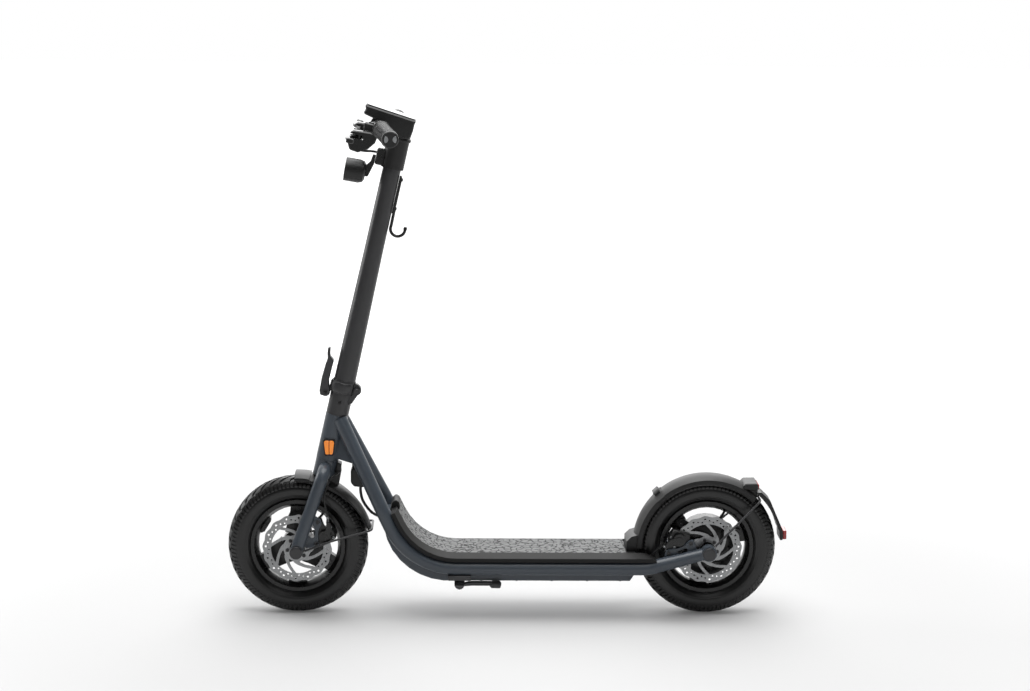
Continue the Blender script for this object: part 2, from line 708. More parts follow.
# %% [markdown]
# ## Tyres
# A tyre is a carcass with a tread on it. The carcass is an outline spun round the axle: a round
# crown, a sidewall that bulges most half way, and the fine raised rings that the mould leaves. The
# tread is two repeated pieces: a curved lug that runs from the middle of the crown to the
# shoulder, and small shoulder blocks that break the edge. A real tread also repeats, so a lug is
# built once and the first tree copies it, once for each side.

# %% Carcass with its mould rings
CROWN_HALF = [(0, 155.5), (7, 155.2), (14, 153.5), (21, 149.4), (26, 143.2), (29, 136.5),
              (30, 129.5), (29.2, 121.5), (26.2, 114), (22.8, 109), (20.7, 106.6)]
BEAD = [(20.4, 101.7), (16, 101.7), (24, 128), (0, 150.5)]
MOULD_RINGS = (141.0, 119.5, 117.0, 112.5)
RING_HALF, RING_HEIGHT = 0.8, 0.45


def carcass_line():
    """The tyre's outside from the crown to the bead, with a ridge at each mould ring."""
    line = []
    for point in smooth_path([(y, radius, 0) for y, radius in CROWN_HALF], 1.0):
        near = min(abs(point.y - ring) for ring in MOULD_RINGS)
        lift = RING_HEIGHT * math.cos(near / RING_HALF * math.pi / 2) if near < RING_HALF else 0
        line.append(tuple(point.xy + Vector((lift, 0))))
    return line


CROWN = carcass_line()
print("the carcass outline has", len(CROWN), "points on each side")

# %% One lug, one shoulder block, and the two treads
LUG_HEIGHT, LUG_ROOT, TREAD_R = 2.9, 0.8, 158.7
LUG_TOP_SHARE, LUG_SPLAY = 0.84, 0.25
LUGS, SHOULDER_BLOCKS = 40, 96
# From and to (mm off the middle plane), steps, lag (degrees), half width (mm), number.
TREAD = ((0.8, 21.5, 8, 9.0, 8.4, LUGS), (22.6, 28.6, 3, 1.0, 3.3, SHOULDER_BLOCKS))


def crown_radius(y):
    """The carcass radius at a distance from the middle plane."""
    for (y0, r0), (y1, r1) in zip(CROWN, CROWN[1:]):
        if y0 <= y <= y1:
            return r0 + (r1 - r0) * (y - y0) / (y1 - y0)


def lug_between(start, end, steps, lag, half_width, side):
    """A raised bar across the crown. It lags behind, in degrees, as it nears the shoulder."""
    rings = []
    for i in range(steps + 1):
        share = i / steps
        y = start + (end - start) * share
        root = crown_radius(y) - LUG_ROOT
        top = min(root + LUG_ROOT + LUG_HEIGHT, TREAD_R)
        middle = 90 + lag * math.sin(share * math.pi / 2) ** 1.5
        rings.append([
            round_axle(radius, middle + math.degrees(half / radius),
                       (y + (radius - root) * LUG_SPLAY) * side)
            for radius, half in ((root, half_width), (top, half_width * LUG_TOP_SHARE),
                                 (top, -half_width * LUG_TOP_SHARE), (root, -half_width))])
    return lofted(rings)


for end in ENDS:
    body = end + "_wheel"
    carcass = turned(mirrored(CROWN + BEAD), steps=96)
    settle(moved(carcass, AT_WHEEL[end]), end + "_tyre_carcass", body, "tyre_rubber",
           end + "_tyre")
    rows = []
    for side in (LEFT, RIGHT):
        first = math.radians(180 / LUGS if side == RIGHT else 0.0)  # half a pitch apart
        for *bar, count in TREAD:
            rows.append(grown(lug_between(*bar, side), AROUND, Count=count, First=first,
                              Finish=FINISH["tread_rubber"]))
    tread = settle(moved(united(*rows), AT_WHEEL[end]), end + "_tyre_tread", body, "tyre_rubber",
                   end + "_tyre", look="tread_rubber", sharp=30)
    print(tread.name, len(tread.data.polygons), "faces")

# %% [markdown]
# ## Brake discs
# The disc is the piece that most invites a rule. Its rim is a wave with sixteen lobes. Eight arms
# sweep out of the hub ring, each leaving at a slant and turning outwards, and between two arms
# lies a window. The band carries sixteen slanting rows of three holes. All of it is one flat
# outline with holes, so a filled 2-D curve is the natural way: the holes are just more curves, and
# a small bevel on the curve breaks every edge at once.

# %% Disc outline, arms and holes
DISC_Y, DISC_THICK, DISC_R = -42.0, 2.0, 77.0
DISC_LOBES, LOBE_HEIGHT, DISC_ARMS = 16, 1.3, 8
RING_R, BAND_R, HUB_R = 31.0, 59.0, 17.0
ARM_HALF, ARM_POINTS, ROW_LEAD = 3.2, 12, 3.0
ARM_LAG, ARM_CURL, ARM_FLARE = 0.41, 0.36, 0.6
HOLE_ROW = ((70.8, 0, 2.4), (67.2, -8, 1.9), (64.0, -16, 1.9))  # place, lag in degrees, radius
DISC_TURN = {"front": 38.7, "rear": 2.5}


def arm_side(degrees, shift):
    """One side of an arm, from the hub ring to the band, as points half an arm off its line."""
    def on_line(share):
        left = 1 - share
        bearing = math.radians(degrees) - ARM_LAG * left - ARM_CURL * left ** 2
        radius = RING_R + (BAND_R - RING_R) * share
        return Vector((radius * math.cos(bearing), radius * math.sin(bearing)))

    side = []
    for i in range(-16, 81):
        share = i / 64
        ahead = on_line(share + 0.01) - on_line(share - 0.01)
        width = shift * (1 + ARM_FLARE * max(0.0, 1 - 2 * abs(share)) ** 2)
        point = on_line(share) + Vector((-ahead.y, ahead.x)).normalized() * width
        if RING_R < point.length < BAND_R:
            side.append(point)
    last = len(side) - 1
    return [side[round(last * i / ARM_POINTS)] for i in range(ARM_POINTS + 1)]


def disc_window(degrees):
    """The opening between one arm and the next, blunt at the band and narrow at the ring."""
    first = arm_side(degrees, ARM_HALF)
    second = arm_side(degrees + 360 / DISC_ARMS, -ARM_HALF)
    start, stop = (math.degrees(math.atan2(p.y, p.x)) for p in (first[-1], second[-1]))
    reach = (stop - start) % 360
    return eased(first + arc((0, 0), BAND_R, start + 3, start + reach - 3, 10) + second[::-1])


def brake_disc(end):
    edge = []
    for i in range(DISC_LOBES * 12):
        angle = 360 * i / (DISC_LOBES * 12)
        wave = LOBE_HEIGHT * math.cos(math.radians(angle * DISC_LOBES))
        edge.append(polar(DISC_R + wave, angle + ROW_LEAD))
    holes = [arc((0, 0), HUB_R, 0, 354, 59)]
    holes += [disc_window(360 * i / DISC_ARMS) for i in range(DISC_ARMS)]
    for i in range(DISC_LOBES):
        start = 360 * i / DISC_LOBES + ROW_LEAD
        holes += [arc(polar(radius, start + lag), size, 0, 340, 17)
                  for radius, lag, size in HOLE_ROW]
    sheet = cut_plate(edge, holes, DISC_Y - DISC_THICK / 2, DISC_Y + DISC_THICK / 2, 0.25)
    return moved(sheet, Matrix.Rotation(-math.radians(DISC_TURN[end]), 4, "Y"))


for end in ENDS:
    disc = settle(moved(brake_disc(end), AT_WHEEL[end]), end + "_drilled_disc", end + "_wheel",
                  "brake_steel", end + "_brake_disc", look=end + "_disc", sharp=30)
    print(disc.name, len(disc.data.polygons), "faces")

# %% [markdown]
# ## Frame tubes and fork legs
# Two bent tubes are the scooter's backbone: they leave the head tube, run down, level out under
# the deck and rise to the rear axle. The third tree draws them with thirty-two sides, so they are
# round even close up. Where a tube meets the head tube it is coped, which means cut to its curve,
# and a Boolean does that. At the axle each tube and each fork leg ends in a boss. Those on the
# left also carry the brake's bracket plate, cut from sheet.

# %% Bosses and bracket plates
PLATE_LOW, PLATE_HIGH, PLATE_EDGE = -60, -52, 0.6
WASHER_R, OVERLAP, CLEAR = 19, 0.6, 15


def limb(pipe, head, axle_at, side, inner, outer, boss_r, place):
    """A pipe coped to the head tube, with a boss round the axle from an inner to an outer
    distance off the middle plane."""
    out = Y * side
    cut(pipe, head, *(rod(axle_at + out * low, axle_at + out * high, WASHER_R) for low, high in (
        (inner - CLEAR, inner + OVERLAP), (outer - OVERLAP, outer + CLEAR))))
    boss = rounded(rod(axle_at + out * inner, axle_at + out * outer, boss_r, 48), 1.2)
    return moved(united(rounded(pipe, 0.8, angle=50), boss), place)


def with_bracket(limb_left, outline, window, end):
    """A limb with its plate, whose corners are rounded by the cutting tool."""
    sheet = cut_plate(eased(outline), [eased(window)], PLATE_LOW, PLATE_HIGH, PLATE_EDGE)
    return united(limb_left, moved(sheet, AT_WHEEL[end]))


print("plates", PLATE_HIGH - PLATE_LOW, "mm thick")

# %% Two frame tubes
TUBE_R, TUBE_TIP, COPE_R = 16, 0.82, 25.8
TOP_HALF, TUBE_HALF, REAR_HALF = 17, 66, 70
TUBE_TOP_Z, TUBE_WIDE_Z, TUBE_LEVEL_Z = 452, 252, 121
CORNER_X, BEND_R, LEVEL_END_X = -220.1, 165, 316
SLOPE_X, SLOPE_Z, SLOPE = -370.2, 433.8, 0.4858
REAR_BOSS = (58.9, 82, 17.5)
REAR_PLATE = [(-99, -27), (-98, -4), (-92, 4), (-80, 4), (-56, 12), (-44, 24), (-34, 28),
              (-29, 16), (-26, 2), (-22, -8)]
REAR_PLATE_WINDOW = [(-78, -5), (-53, 8), (-47, 6), (-45, -5)]
rear = WHEELS["rear"]


def on_slope(height):
    """How far back the tubes' front part is at a height."""
    return SLOPE_X + (SLOPE_Z - height) * SLOPE


for side, word in SIDES:
    line = rounded_path([(on_slope(TUBE_TOP_Z), TOP_HALF * side, TUBE_TOP_Z),
                         (on_slope(TUBE_WIDE_Z), TUBE_HALF * side, TUBE_WIDE_Z),
                         (CORNER_X, TUBE_HALF * side, TUBE_LEVEL_Z),
                         (LEVEL_END_X, TUBE_HALF * side, TUBE_LEVEL_Z),
                         (rear.x, REAR_HALF * side, rear.z)], [90, BEND_R, 120])
    head = moved(rod((0, 0, 340), (0, 0, 500), COPE_R, 48), STEER)
    pipe = limb(tube(line, TUBE_R, 32, TUBE_TIP), head, rear, side, *REAR_BOSS, Matrix())
    if side == LEFT:
        pipe = with_bracket(pipe, REAR_PLATE, REAR_PLATE_WINDOW, "rear")
    settle(pipe, word + "_bent_tube", "frame", "frame_paint", word + "_frame_tube")
print("two bent tubes")

# %% Two fork legs
LEG_R, SHOULDER_Z, SHOULDER_BEND = 14.5, 347, 26
FRONT_BOSS = (57.1, 80, 15)
FRONT_PLATE = [(8, 10), (34, 4), (44, 4), (50, 10), (48.5, 30), (49, 48), (57, 60), (53, 73),
               (43, 76), (24, 104), (12, 60)]
FRONT_PLATE_WINDOW = [(24, 36), (39, 24), (42, 50), (33, 64)]
FRONT_ON_STEER = STEER.inverted() @ WHEELS["front"]

for side, word in SIDES:
    line = rounded_path([(FRONT_ON_STEER.x, 70.7 * side, FRONT_ON_STEER.z + 3),
                         (-0.5, 55 * side, SHOULDER_Z), (0, 15 * side, SHOULDER_Z)],
                        [SHOULDER_BEND])
    head = rod((0, 0, 300), (0, 0, 400), COPE_R - 0.5, 48)
    leg = limb(tube(line, LEG_R, 32), head, FRONT_ON_STEER, side, *FRONT_BOSS, STEER)
    if side == LEFT:
        leg = with_bracket(leg, FRONT_PLATE, FRONT_PLATE_WINDOW, "front")
    settle(leg, word + "_bent_leg", "fork", "frame_paint", word + "_fork_leg")
print("two legs")

# %% Axles with domed caps
CAP = [(5, 0), (5, 11.5), (4.4, 13.2), (3, 14.4), (0.3, 14.5), (0.3, 6)]


def axle(end, body, spacer_left, spacer_right, dropout):
    spacer = dropout - 23.4
    outline = [(-dropout - a, radius) for a, radius in CAP]
    for ends in ((-spacer, spacer_left), (spacer_right, spacer)):
        outline += [(ends[0], 6), (ends[0], 9), (ends[1], 9), (ends[1], 6)]
    outline += [(dropout + a, radius) for a, radius in CAP[::-1]]
    settle(moved(turned(outline), AT_WHEEL[end]), end + "_turned_axle", body, "satin_black",
           end + "_axle", sharp=35)


axle("rear", "frame", -43.6, 36.3, 82)
axle("front", "fork", -43.6, 30.3, 80)
print("two axles")

# %% [markdown]
# ## Mudguards
# A mudguard is one moulded channel. In the photograph its crown is light, its side is dark and
# its lower edge has a thin bright line. These come from the section: a gently curved crown, a
# crisp bend, a nearly upright side, and a rolled bead along the edge that catches the light. The
# section is carried round the wheel. The front one changes on the way, as its side gets lower
# towards the tail.

# %% Mudguard sections
CROWN_SHAPE = ((0.0, 0.0), (0.15, 0.02), (0.3, 0.08), (0.45, 0.19), (0.6, 0.35), (0.75, 0.54),
               (0.87, 0.72), (0.95, 0.85))
GUARD_WALL, FRONT_NARROWS = 2.4, 0.37


def guard_section(crown, side_r, lip, wide):
    """A channel's closed outline: over the top, down the side, round the bead and back under."""
    over = [(wide * a, crown - (crown - side_r) * b) for a, b in CROWN_SHAPE]
    side = [(wide - 0.4, side_r + 0.6), (wide + 0.2, side_r - 0.6)]
    bead = [(wide + 0.5, lip + 1.9), (wide + 1.5, lip + 1.3), (wide + 1.6, lip + 0.5),
            (wide + 0.9, lip), (wide - 1.4, lip)]
    under = [(wide - 1.6, side_r - 1.8)]
    under += [(y * 0.93, radius - GUARD_WALL) for y, radius in over[::-1]]
    return mirrored(over + side + bead + under)


def rear_guard(share):
    """The same section at every share of the way."""
    return guard_section(crown=167.0, side_r=158.6, lip=147.5, wide=36.2)


def front_guard(share):
    late = max(0.0, (share - FRONT_NARROWS) / (1 - FRONT_NARROWS))
    lip = 150.5 + 13.5 * late
    return guard_section(crown=166.5 + 3 * late, side_r=max(157.0 + 3 * late, lip + 2.4),
                         lip=lip, wide=34.8)


def nose_section(share):
    """The step ahead of the front guard, alike all along."""
    return mirrored([(0, 168.6), (24, 166.4), (36.5, 161), (38, 158.5), (38, 154), (35, 154),
                     (34.6, 156.5), (19.5, 161.2), (0, 165.1)])


shell = rounded(round_wheel(rear_guard, 180, 47, 60, rear), 0.25, 1, 60)
foot = plate([(268.5, 151.4), (268.5, 174), (280, 185), (292, 188.5), (304, 188.5),
              (298, 151.4)], -33, 33)
core = turned([(-34.8, 0), (-34.8, 153), (-19.5, 161.8), (0, 165.7), (19.5, 161.8), (34.8, 153),
               (34.8, 0)], Y, rear, 96)
settle(united(shell, rounded(cut(foot, core), 2.2, 3, 50)), "rear_moulded_guard", "frame",
       "black_plastic", "rear_mudguard", sharp=35)

shell = rounded(round_wheel(front_guard, 103.5, 25, 36, FRONT_ON_STEER), 0.25, 1, 60)
nose = rounded(round_wheel(nose_section, 104.5, 92.2, 6, FRONT_ON_STEER), 0.8, 2, 40)
tab = rounded(plate([(25.8, 314), (25.8, 356), (33, 358), (37, 345), (38, 312.5), (32, 311)],
                    -11, 11), 1.5, 3)
settle(moved(united(shell, nose, tab), STEER), "front_moulded_guard", "fork", "black_plastic",
       "front_mudguard", sharp=35)

wedge = plate([(-20, 324.6), (34, 313), (37, 322), (34, 363), (24, 364.5), (24, 327), (-20, 328)],
              -13, 13)
settle(moved(rounded(wedge, 1.2, 3), STEER), "guard_wedge", "fork", "black_plastic")
print("two mudguards")

# %% [markdown]
# ## Stem, hook and hinge
# The stem tapers, so it is spun from an outline that narrows upwards. The bag hook is a steel
# strap with a round bar bent into a hook, under a glossy lacquer. Round the hinge a thick collar
# clamps the stem's foot; it is open at the back, where the hinge's ears pass.

# %% Stem tube and bag hook
stem_tube = turned([(522.2, 24.3), (556, 24.2), (637, 23.4), (730, 22.2), (848, 20.9),
                    (1039, 20.1), (1095.5, 20.1), (1095.5, 17.5), (730, 19.6), (522.2, 21.7)],
                   Z, steps=72)
settle(moved(stem_tube, STEER), "tapered_stem", "stem", "satin_black", "stem_tube", sharp=35)

HOOK_R, HOOK_ROD_R = 16.2, 3.4
bend = [(25.2, 0, 952), (25.3, 0, 944)]
bend += [(x, 0, z) for x, z in arc((41.6, 910.5), HOOK_R, 168, 366, 36)]
tip = turned([(0, 0), (0, 4.1), (4.5, 4.1), (6.5, 2.8), (7, 0)],
             Vector(bend[-1]) - Vector(bend[-2]), Vector(bend[-1]), 24)
strap = rounded(plate([(20.6, 942), (20.6, 1027), (24, 1029), (27.5, 1022), (27.5, 952),
                       (28, 944)], -7, 7), 1.2, 3)
settle(moved(united(tube(bend, HOOK_ROD_R, 20), tip, strap), STEER), "lacquered_hook", "stem",
       "satin_black", "bag_hook", look="gloss_black", sharp=35)
print("a hook of", round(2 * HOOK_R), "mm across")

# %% Collar ring, head ledge and hinge pin
def sliced(obj, at, outward):
    """Cuts a shape by a plane and closes it."""
    bm = opened(obj)
    cut_line = bmesh.ops.bisect_plane(bm, geom=bm.verts[:] + bm.edges[:] + bm.faces[:],
                                      plane_co=at, plane_no=outward, clear_outer=True)["geom_cut"]
    edges = [part for part in cut_line if isinstance(part, bmesh.types.BMEdge)]
    bmesh.ops.edgeloop_fill(bm, edges=edges)
    return shape(bm)


COLLAR_OPEN_X = 17
collar = sliced(turned([(524.5, 25.2), (525.5, 28.2), (528, 29.8), (532, 30.2), (542, 30.2),
                        (546, 29.4), (548.5, 27.4), (549, 25.2)], Z, steps=96),
                X * COLLAR_OPEN_X, X)
ledge = turned([(1102, 25), (1102.6, 27), (1104.5, 28.1), (1107.5, 28.1), (1109.5, 27),
                (1111, 25)], Z, steps=96)
PIN_AT = STEER.inverted() @ joint_place("stem_fold")
PIN_END = [(-17.6, 0), (-17.6, 5.6), (-16.8, 6.5), (-15.8, 6.5), (-15.8, 4)]
pin = turned(PIN_END + flipped(PIN_END), Y, PIN_AT, 32)
for spun, *where in (
        (collar, "collar_ring", "stem", "satin_black"),
        (ledge, "head_ledge", "stem", "black_plastic"),
        (pin, "hinge_pin", "fork", "satin_black", "fold_pin")):
    settle(moved(spun, STEER), *where, sharp=35)
print("hinge pin at", [round(v, 1) for v in PIN_AT])

# %% [markdown]
# ## Hoses, cables and stays
# The brake hoses run in the open from each caliper to a hole in the frame, and two thin steel
# stays hold the mudguards. Each is a round bar on a path. Where the real one is bent on a former,
# as a stay is, its corners are arcs. A hose finds its own way, so its path is a smooth curve
# through a few points.

# %% Brake hoses and bar cables
HOSE_R, LEAD_R, CABLE_R = 2.2, 3.2, 2.4


def hose(points, radius):
    return tube(smooth_path(points, 4.0), radius, 16)


front_hose = points_at(AT_WHEEL["front"], (
    (70.4, -47.8, 64.8), (69, -48, 78), (62, -49, 112), (66, -46, 140), (78, -38, 163)))
front_hose += points_at(STEER, ((31, -19, 343), (22.9, -12.8, 343.5)))
rear_hose = [(356.2, -47.8, 169.1), (345, -46, 165), (328, -42.5, 148), (309, -40, 128),
             (296, -39.5, 119), (287.6, -39.5, 117)]
battery_lead = [(-334, 0, 297), (-334.5, 0, 282), (-329, 0, 258), (-312, 0, 234),
                (-295, 0, 223.5), (-284.3, 0, 222)]
cables = [points_at(STEER, [(x, y * side, z) for x, y, z in (
    (-84.5, 80.3, 1086), (-87.5, 72, 1083), (-92, 52, 1073), (-84, 30, 1066), (-66, 9, 1064),
    (-52, 2, 1066), (-40.4, 1.8, 1067))]) for side in (LEFT, RIGHT)]
for run, *where in (
        (hose(front_hose, HOSE_R), "front_hose", "fork", "grip_rubber", "front_brake_hose"),
        (hose(rear_hose, HOSE_R), "rear_hose", "frame", "grip_rubber", "rear_brake_hose"),
        (hose(battery_lead, LEAD_R), "battery_lead", "frame", "grip_rubber"),
        (united(*(hose(cable, CABLE_R) for cable in cables)), "lever_cables", "stem",
         "grip_rubber", "bar_cables")):
    settle(run, *where, sharp=60)
print("three hoses and leads, two cables")

# %% Mudguard stays
STAY_R = 2.5


def stay(name, place, arm, radii, body, stands_for):
    """One bent bar: up along the left arm and back along the right one."""
    left, right = (points_at(place, [(x, y * side, z) for x, y, z in arm])
                   for side in (LEFT, RIGHT))
    line = rounded_path(left + right[::-1], radii, step=8)
    settle(tube(line, STAY_R, 16), name, body, "satin_black", stands_for, sharp=60)


stay("front_stay", AT_WHEEL["front"], ((18.5, 76.5, 3), (78, 70, 24), (167.8, 42, 42.5)),
     [30, 12, 12, 30], "fork", "front_mudguard_stay")
stay("rear_stay", Matrix(), ((466.6, 73, 175.2), (569.1, 43, 272)), [12, 12], "frame",
     "rear_mudguard_stay")
print("two stays")

# %% [markdown]
# ## Grips
# A grip is a rubber sleeve with a flange at each end and fine ribs that run round it between them.
# The ribs are a wave in the outline before it is spun. The end is closed by a cap with two
# leaf-shaped insets of a lighter grey.

# %% Ribbed grips and their end caps
BAR_X, BAR_Z, BAR_STRAIGHT, BAR_SWEEP = -49.9, 1127.0, 45.0, 0.163
GRIP_FROM, GRIP_TO, GRIP_R = 115.0, 266.5, 17.9
RIB_PITCH, RIB_HEIGHT, RIB_POINTS = 4.4, 0.6, 6
LEAF = arc((0, 0), 13.2, -34, 34, 10) + arc((11.5, 0), 7.0, 105, 255, 10)


def bar_point(y):
    """The middle of the handlebar at a distance from its centre, in steering coordinates."""
    return Vector((BAR_X + max(0.0, abs(y) - BAR_STRAIGHT) * BAR_SWEEP, y, BAR_Z))


def grip_outline(length):
    outline = [(0, 11.6), (0, 19.2), (0.8, 20), (2.4, 20), (3.4, 19), (4.5, GRIP_R)]
    along = 8.0
    while along < length - 16:
        outline.append((along, GRIP_R + RIB_HEIGHT * math.sin(math.tau * along / RIB_PITCH)))
        along += RIB_PITCH / RIB_POINTS
    end = [(13, GRIP_R), (11.5, 19), (8.5, 19.3), (7.5, 18.3), (1.6, 17.6), (0, 16), (0, 0),
           (4, 0), (4, 11.6)]
    return outline + [(length - back, radius) for back, radius in end]


for side, word in SIDES:
    start, end = bar_point(GRIP_FROM * side), bar_point(GRIP_TO * side)
    sleeve = turned(grip_outline((end - start).length), end - start, start, 48)
    settle(moved(sleeve, STEER), word + "_ribbed_grip", "stem", "grip_rubber", word + "_grip",
           sharp=35)
    place = (STEER @ Matrix.Translation(end)
             @ Matrix.Rotation(-math.atan(BAR_SWEEP) * side, 4, "Z")
             @ Matrix.Rotation(-LEAN, 4, "Y"))
    low, high = sorted((-0.8 * side, 0.35 * side))
    leaves = united(plate(LEAF, low, high), plate(flipped(LEAF), low, high))
    settle(moved(rounded(leaves, 0.2, 1), place), word + "_grip_inset", "stem", "bright_steel")
print("ribs every", RIB_PITCH, "mm")

# %% [markdown]
# ## Side reflectors
# Each reflector on the head tube is two amber lobes in a black surround, wider at the top than at
# the foot. The lobes are short plates whose edges are rounded, so that they catch the light all
# round; the surround stands a little behind them.

# %% Amber lobes in a dark surround
LOBE = [(0.7, -15.6), (6.4, -15.8), (8.4, -13.2), (11.2, 10), (10.9, 13.8), (8.2, 16), (0.7, 16)]
SURROUND = [(-10.8, -17.4), (-8, -19.4), (8, -19.4), (10.8, -17.4), (14.2, 12), (13.6, 17.5),
            (11, 19.4), (-11, 19.4), (-13.6, 17.5), (-14.2, 12)]
for side, word in SIDES:
    node = word + "_side_reflector"
    low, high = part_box(node)
    middle = (low + high) / 2 / MM
    outer = max(abs(low.y), abs(high.y)) / MM * side
    place = Matrix.Translation((middle.x, 0, middle.z))
    back = plate(SURROUND, *sorted((20.5 * side, outer - 1.6 * side)))
    settle(moved(rounded(back, 0.8), place), word + "_reflector_surround", "frame",
           "black_plastic", node)
    lobes = united(*(plate(outline, *sorted((22 * side, outer)))
                     for outline in (LOBE, flipped(LOBE))))
    settle(moved(rounded(lobes, 1.3, 3), place), word + "_reflector_lobes", "frame",
           "amber_lens", node)
print("two lobes on each side")

# %% [markdown]
# ## Screws and bolts
# Every screw on the scooter is the same shape at another size: a domed head with a hexagonal
# socket. It is drawn once, with a radius of 1, from rings of twenty-four points: round ones for
# the head, then hexagonal ones for the socket. Each place is a point with an aim and a size, and
# the second tree puts the screws there. Repeated bolts round a hub use the first tree instead.

# %% One screw head
HEAD_POINTS = 24


def ring_of(radius, height, hexagon=False):
    points = []
    for i in range(HEAD_POINTS):
        turn = math.tau * i / HEAD_POINTS
        reach = radius
        if hexagon:
            reach *= math.cos(math.pi / 6) / math.cos((turn % (math.pi / 3)) - math.pi / 6)
        points.append(Vector((reach * math.cos(turn), reach * math.sin(turn), height)))
    return points


def screw_head():
    return lofted([ring_of(1, -0.3), ring_of(1, 0.35), ring_of(0.94, 0.5), ring_of(0.8, 0.6),
                   ring_of(0.56, 0.62, True), ring_of(0.52, 0.2, True)])


def screws(name, body, slot, place, spots):
    """Screws at (point, aim, radius) in the coordinates of a place, as one piece on one body."""
    mesh = bpy.data.meshes.new(name)
    mesh.from_pydata(points_at(place, [point for point, _, _ in spots]), [], [])
    aims = points_at(place.to_3x3(), [aim for _, aim, _ in spots])
    carry(mesh, "aim", "FLOAT_VECTOR", [number for aim in aims for number in aim])
    carry(mesh, "size", "FLOAT", [radius for _, _, radius in spots])
    piece = grown(new_object(name, mesh), SCREWS, Screw=SCREW, Finish=FINISH[slot])
    settle(piece, name, body, slot, sharp=30)
    print(name, len(spots))


SCREW = screw_head()
SCREW.name = "screw_pattern"
print("a head of", len(SCREW.data.polygons), "faces")

# %% Screws on the wheels
HUB_BOLT_R, HUB_BOLTS, HUB_BOLT_SIZE = 22.5, 6, 4.2
RIM_BOLT_SIZE = 5.0
RIM_BOLTS = {"front": [(84, 89, -10), (84, 209, -10), (84, 329, -10), (86, 149, -9),
                       (86, 269, -9), (86, 29, -9)],
             "rear": [(76, 19, -14), (76, 140, -14), (76, 260, -14)]}  # radius, degrees, y
for end in ENDS:
    bolt = moved(screw_head(), Matrix.Translation((HUB_BOLT_R, DISC_Y - DISC_THICK / 2, 0))
                 @ Matrix.Rotation(math.pi / 2, 4, "X") @ Matrix.Scale(HUB_BOLT_SIZE, 4))
    grown(bolt, AROUND, Count=HUB_BOLTS, First=math.radians(DISC_TURN[end] + 10),
          Finish=FINISH["satin_black"])
    settle(moved(bolt, AT_WHEEL[end]), end + "_hub_bolts", end + "_wheel", "satin_black", sharp=30)
for end in ENDS:
    screws(end + "_rim_bolts", end + "_wheel", "satin_black", AT_WHEEL[end],
           [(round_axle(*spot), -Y, RIM_BOLT_SIZE) for spot in RIM_BOLTS[end]])

# %% Screws on the frame, the fork and the stem
for screwed in (
        ("rear_bracket_bolts", "frame", "satin_black", AT_WHEEL["rear"],
         [((-89, -60, -5), -Y, 4.8), ((-40, -60, 19), -Y, 4.8)]),
        ("rear_caliper_screws", "frame", "bright_steel", AT_WHEEL["rear"],
         [((-84, -51.7, 30), -Y, 3.2), ((-76, -51.7, 8), -Y, 3.2)]),
        ("front_bracket_bolts", "fork", "satin_black", AT_WHEEL["front"],
         [((48, -60, 66), -Y, 4.8), ((44, -60, 16), -Y, 4.8)]),
        ("front_caliper_screws", "fork", "bright_steel", AT_WHEEL["front"],
         [((76, -51.7, 52), -Y, 3.2), ((82, -51.7, 28), -Y, 3.2)]),
        ("hinge_screws", "fork", "black_plastic", STEER,
         [((0, -25.0, 503.5), -Y, 4.0), ((0, 25.0, 503.5), Y, 4.0), ((25.0, 0, 505), X, 3.4)]),
        ("stem_screws", "stem", "black_plastic", STEER,
         [((27.4, 0, 1019), X, 3.6), ((27.4, 0, 953.5), X, 3.6),
          ((-36.8, -10.2, 517.1), -Y, 4.4), ((-36.8, 10.2, 517.1), Y, 4.4),
          ((-28, -12, 1059), -Y, 4.0), ((-28, 12, 1059), Y, 4.0)])):
    screws(*screwed)

# %% Cable adjusters, the tray's screws and tyre valves
ADJUSTERS = {"rear": ("frame", (-99, -47.6, 5.5), (-90, -47.9, 15)),
             "front": ("fork", (70, -47.8, 62), (69, -48, 77))}
BARREL = [(0, 0), (0, 2.6), (2, 3.3), (4, 2.6), (6, 3.3), (8, 2.6), (10, 3.3), (13, 3.0), (14, 0)]
for end, (body, *points) in ADJUSTERS.items():
    low, high = points_at(AT_WHEEL[end], points)
    settle(turned(BARREL, high - low, low, 24), end + "_cable_adjuster", body, "bright_steel",
           sharp=35)

TRAY_SCREW_X, TRAY_SCREW_Y, TRAY_FOOT_Z = (-60, 20, 100, 180, 255), (-40, 40), 85.2
screws("tray_screws", "frame", "satin_black", Matrix(),
       [((x, y, TRAY_FOOT_Z), -Z, 3.4) for x in TRAY_SCREW_X for y in TRAY_SCREW_Y])
bpy.data.objects.remove(SCREW)

VALVES, VALVE_FOOT_R = {"front": 51, "rear": 62}, 62
VALVE = [(0, 0), (0, 2.8), (6, 2.8), (6.5, 3.6), (15, 3.6), (17, 2.9), (30, 2.9), (30, 0)]
for end, degrees in VALVES.items():
    outward = round_axle(1.0, degrees)
    valve = turned(VALVE, outward, outward * VALVE_FOOT_R, 24)
    settle(moved(valve, AT_WHEEL[end]), end + "_valve", end + "_wheel", "black_plastic")
print("two cable adjusters, and valves at", VALVES)

# %% [markdown]
# ## Floor and light
# The photograph is a studio picture: a white floor that fades into a white wall, large soft lamps
# above and behind, and weaker ones in front and beside the camera. The floor is pale paint that
# takes the shadow. It has a little light of its own, which only the camera and, more faintly, the
# reflections see. That light grows with the distance, until the floor is the paper white of the
# photograph, while the lamps stay at a level at which colours render as they are written. The
# world is bright on the far side of the scooter and above it, like a lit wall, and dark elsewhere.

# %% Floor
FLOOR_SIZE = 40.0
FLOOR_OWN_LIGHT, FADE_FROM, FADE_TO = 0.08, 0.8, 3.4
SHARE_IN_GLOSS = 0.3


